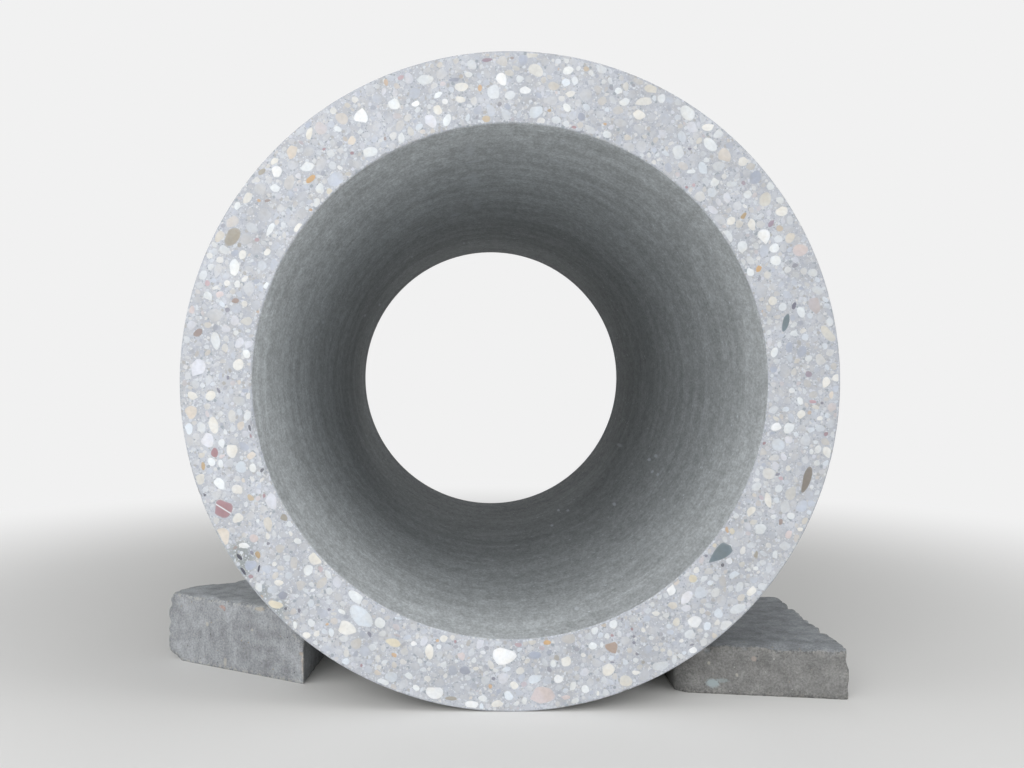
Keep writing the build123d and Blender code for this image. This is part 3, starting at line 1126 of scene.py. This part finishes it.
def chock_concrete(name, face_colour, sky_lit_top_colour, streak_scale, edge_strength, flecks):
    """Old rough concrete: sandy, streaked down its sides, painted a lighter, bluer colour on top as sky
    light, and pale along its edges.

    flecks are coloured spots: a place in mm, its reach along x, y and z, a colour and a strength.
    """
    look = Look(bpy.data.materials.new(name))
    cloud = look.noise(24.0, detail=5.0)
    blotches = look.noise(75.0, detail=4.0)
    streaks = look.noise(streak_scale, detail=4.0)
    grain = look.noise(520.0, roughness=0.75)
    up = look.node("ShaderNodeNewGeometry").outputs["Normal"]
    up = look.node("ShaderNodeSeparateXYZ", {"Vector": up}).outputs["Z"]
    ragged = look.calculate("MULTIPLY", look.calculate("SUBTRACT", cloud, 0.5), 0.8)
    # Painted light: the top faces take the lighter, bluer top colour, as sky light
    sky_lit_top = look.between(look.calculate("ADD", up, ragged), 0.45, 0.9)
    colour = look.varied(look.mixed(sky_lit_top, face_colour, sky_lit_top_colour), [
        (cloud, 0.3, 0.90, 1.09), (blotches, 0.3, 0.85, 1.15), (streaks, 0.3, 0.91, 1.09),
        (grain, 0.32, 0.80, 1.18),
    ])
    edge = look.attribute("edge")
    crumbs = look.noise(260.0, detail=2.0)
    pale = look.calculate("MULTIPLY", edge, look.between(crumbs, 0.49, 0.58, 0.0, edge_strength))
    # Painted shade: dark specks along the worn edges stand for the shade in small pits
    painted_pit_shade = look.calculate("MULTIPLY", edge, look.between(crumbs, 0.47, 0.39, 0.0, 0.75))
    colour = look.mixed(pale, colour, edge_pale)
    colour = look.mixed(painted_pit_shade, colour, darker(face_colour, 0.45))
    colour, grains = look.sand(colour, 230.0, 0.26, 0.4, grit_colours)
    for mark, size, tint, strength in flecks:
        colour = look.marked(colour, mark, size, tint, strength)
    rough = look.between(grain, 0.3, 0.7, 0.82, 0.94)
    normal = None
    for height, depth in ((blotches, 0.9), (grain, 0.4), (grains, 0.1)):
        normal = look.bumped(height, depth, normal)
    return look.finish(colour, rough, normal, specular=0.2)


# Where each chock has broken: a place in mm, the reach and the depth
paver_bites = [
    ((-386, -322, -244), 20, 2), ((-386, -322, -258), 8, 1.5), ((-372, -329, -244), 7, 2),
    ((-345, -344, -244), 14, 3), ((-330, -352, -244), 10, 3), ((-300, -369, -244), 12, 3.5),
    ((-283, -378, -244), 9, 2), ((-214, -416, -300), 7, 1.5),
]
paver_flecks = [
    ((-314.6, -361, -251.7), (5, 4, 2.5), rust_orange, 0.42),
    ((-311.5, -362, -253.5), (2.5, 4, 3), rust_orange, 0.3),
    ((-217.4, -414.4, -288.5), (3, 3, 2.5), linear(196, 176, 152), 0.5),
    ((-334.2, -350.2, -273.3), (2.5, 3, 3), crumb_pale, 0.7),
    ((-276.5, -381.9, -271.7), (2.2, 3, 2), crumb_pale, 0.6),
    ((-310.7, -363.1, -312.2), (2.5, 3, 6), crumb_pale, 0.6),
    ((-335.0, -350.0, -246.0), (5, 5, 2.2), linear(206, 200, 172), 0.7),
    ((-268.0, -387.0, -248.0), (8, 6, 2.5), linear(200, 188, 166), 0.5),
    ((-216.0, -415.0, -300.0), (2, 3, 12), linear(204, 192, 180), 0.6),
    ((-337, -348, -301), (1.2, 4, 9), linear(118, 122, 122), 0.5),
    ((-333, -350, -310), (1.2, 4, 6), linear(118, 122, 122), 0.4),
]


def make_paver():
    # The top colour is painted sky light
    surface = chock_concrete(
        "paver_rough", face_colour=linear(163, 166, 170), sky_lit_top_colour=linear(165, 169, 173),
        streak_scale=(90.0, 90.0, 18.0), edge_strength=0.95, flecks=paver_flecks,
    )
    return weathered_block("left_chock_paver", surface, paver_bites, voxel_mm=1.5, wear=0.4, seed=5)


tile_bites = [
    ((176, -441, -270), 14, 4.5), ((172, -440, -300), 10, 2.5), ((205, -447, -270), 15, 3),
    ((240, -452, -270), 12, 1.5), ((275, -457, -270), 20, 7), ((300, -460, -270), 22, 6),
    ((325, -464, -270), 16, 4), ((342, -466, -280), 12, 3),
]
tile_flecks = [
    ((209, -447, -309), (8, 4, 5.5), linear(178, 191, 195), 0.85),
    ((219, -448, -306), (8, 4, 2.5), linear(168, 180, 183), 0.5),
    ((249.8, -452.7, -282.6), (3.5, 4, 3), linear(186, 172, 164), 0.6),
    ((205.6, -446.4, -288.6), (2, 3, 2), crumb_pale, 0.7),
    ((233.2, -450.3, -299.6), (1.6, 3, 2.2), crumb_pale, 0.6),
]


def make_tile():
    # The top colour is painted sky light
    surface = chock_concrete(
        "tile_rough", face_colour=linear(140, 140, 139), sky_lit_top_colour=linear(145, 149, 153),
        streak_scale=(14.0, 60.0, 60.0), edge_strength=0.3, flecks=tile_flecks,
    )
    return weathered_block("right_chock_tile", surface, tile_bites, voxel_mm=1.8, wear=0.7, seed=9)


# Floor, background and light

backdrop_colour = (0.88, 0.88, 0.88)
floor_colour = (0.76, 0.76, 0.75)
floor_reach = 14.0           # metres from the pipe to each side of the floor
backdrop_from = 0.5          # metres from the pipe's middle where the floor starts to fade out
backdrop_to = 1.5            # and where it has done so
world_in_front = 0.74        # strength of the soft light from in front
world_behind = 0.02          # and from behind

# Each lamp's place, what it points at, its width and height in metres, and its power in watts
lamps = {
    "key": ((-0.6, -1.9, 0.5), (0.0, -0.5, 0.0), (1.0, 0.9), 10.0),
    "left": ((-1.9, -1.0, 1.5), (-0.2, -0.4, -0.2), (1.4, 1.4), 11.0),
    "right": ((1.9, -1.0, 1.5), (0.2, -0.4, -0.2), (1.4, 1.4), 16.0),
    "back_left": ((-2.0, 1.3, 1.6), (0.0, 0.5, -0.1), (1.2, 1.2), 4.0),
    "back_right": ((2.0, 1.3, 1.6), (0.0, 0.5, -0.1), (1.2, 1.2), 4.0),
    "far": ((0.4, 2.2, 2.1), (0.0, 0.3, -0.2), (1.0, 0.8), 12.0),
}


def seen_directly(look):
    """1 for what the camera sees itself, in a reflection or through glass, and 0 for light."""
    path = look.node("ShaderNodeLightPath").outputs
    first = look.calculate("MAXIMUM", path["Is Camera Ray"], path["Is Glossy Ray"])
    return look.calculate("MAXIMUM", first, path["Is Transmission Ray"])


def show_backdrop(look, output_name, amount, lit_name, plain_kind):
    """Show the plain backdrop colour instead of what is lit, by an amount from 0 to 1."""
    nodes = look.tree.nodes
    plain = look.node(plain_kind, {"Color": backdrop_colour, "Strength": 1.0}).outputs[0]
    blend = {0: amount, 1: nodes[lit_name].outputs[0], 2: plain}
    blend = look.node("ShaderNodeMixShader", blend).outputs[0]
    look.feed(nodes[output_name].inputs["Surface"], blend)


def add_floor():
    """A wide pale floor that fades into the background far from the pipe."""
    near, far = -floor_reach, floor_reach
    corners = [(near, near), (far, near), (far, far), (near, far)]
    mesh = bpy.data.meshes.new("floor")
    mesh.from_pydata([(x, y, floor_height) for x, y in corners], [], [(0, 1, 2, 3)])
    floor = new_object("floor", mesh)
    look = Look(bpy.data.materials.new("floor"))
    look.finish(floor_colour, 0.9, specular=0.1)
    distance = look.vector("LENGTH", look.where, output="Value")
    away = look.between(distance, backdrop_from, backdrop_to)
    seen = look.calculate("MULTIPLY", away, seen_directly(look))
    show_backdrop(look, "Material Output", seen, "Principled BSDF", "ShaderNodeEmission")
    mesh.materials.append(look.holder)


def add_world():
    """Soft light from in front and above, weak from behind, so that the bore darkens inward."""
    world = bpy.data.worlds.new("studio")
    bpy.context.scene.world = world
    look = Look(world)
    along = look.node("ShaderNodeSeparateXYZ", {"Vector": look.coordinates["Generated"]}).outputs["Y"]
    light = look.tree.nodes["Background"]
    look.feed(light.inputs["Color"], (1.0, 1.0, 1.0))
    look.feed(light.inputs["Strength"], look.between(along, 0.3, -0.5, world_behind, world_in_front))
    show_backdrop(look, "World Output", seen_directly(look), "Background", "ShaderNodeBackground")


def add_lamps():
    for name, (position, target, size, power) in lamps.items():
        lamp = bpy.data.lights.new(name, "AREA")
        lamp.shape = "RECTANGLE"
        lamp.size, lamp.size_y = size
        lamp.energy = power
        holder = new_object(name, lamp)
        holder.location = position
        holder.rotation_euler = (Vector(target) - Vector(position)).to_track_quat("-Z", "Y").to_euler()


add_camera()
add_floor()
add_world()
add_lamps()
bpy.context.scene.view_settings.view_transform = "Standard"

pieces = [
    (make_pipe(), "concrete_pipe", "pipe_concrete"),
    (make_paver(), "left_chock_paver", "paver_concrete"),
    (make_tile(), "right_chock_tile", "tile_concrete"),
]
for piece, node_name, slot in pieces:
    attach(piece, "root")
    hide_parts(node_name)
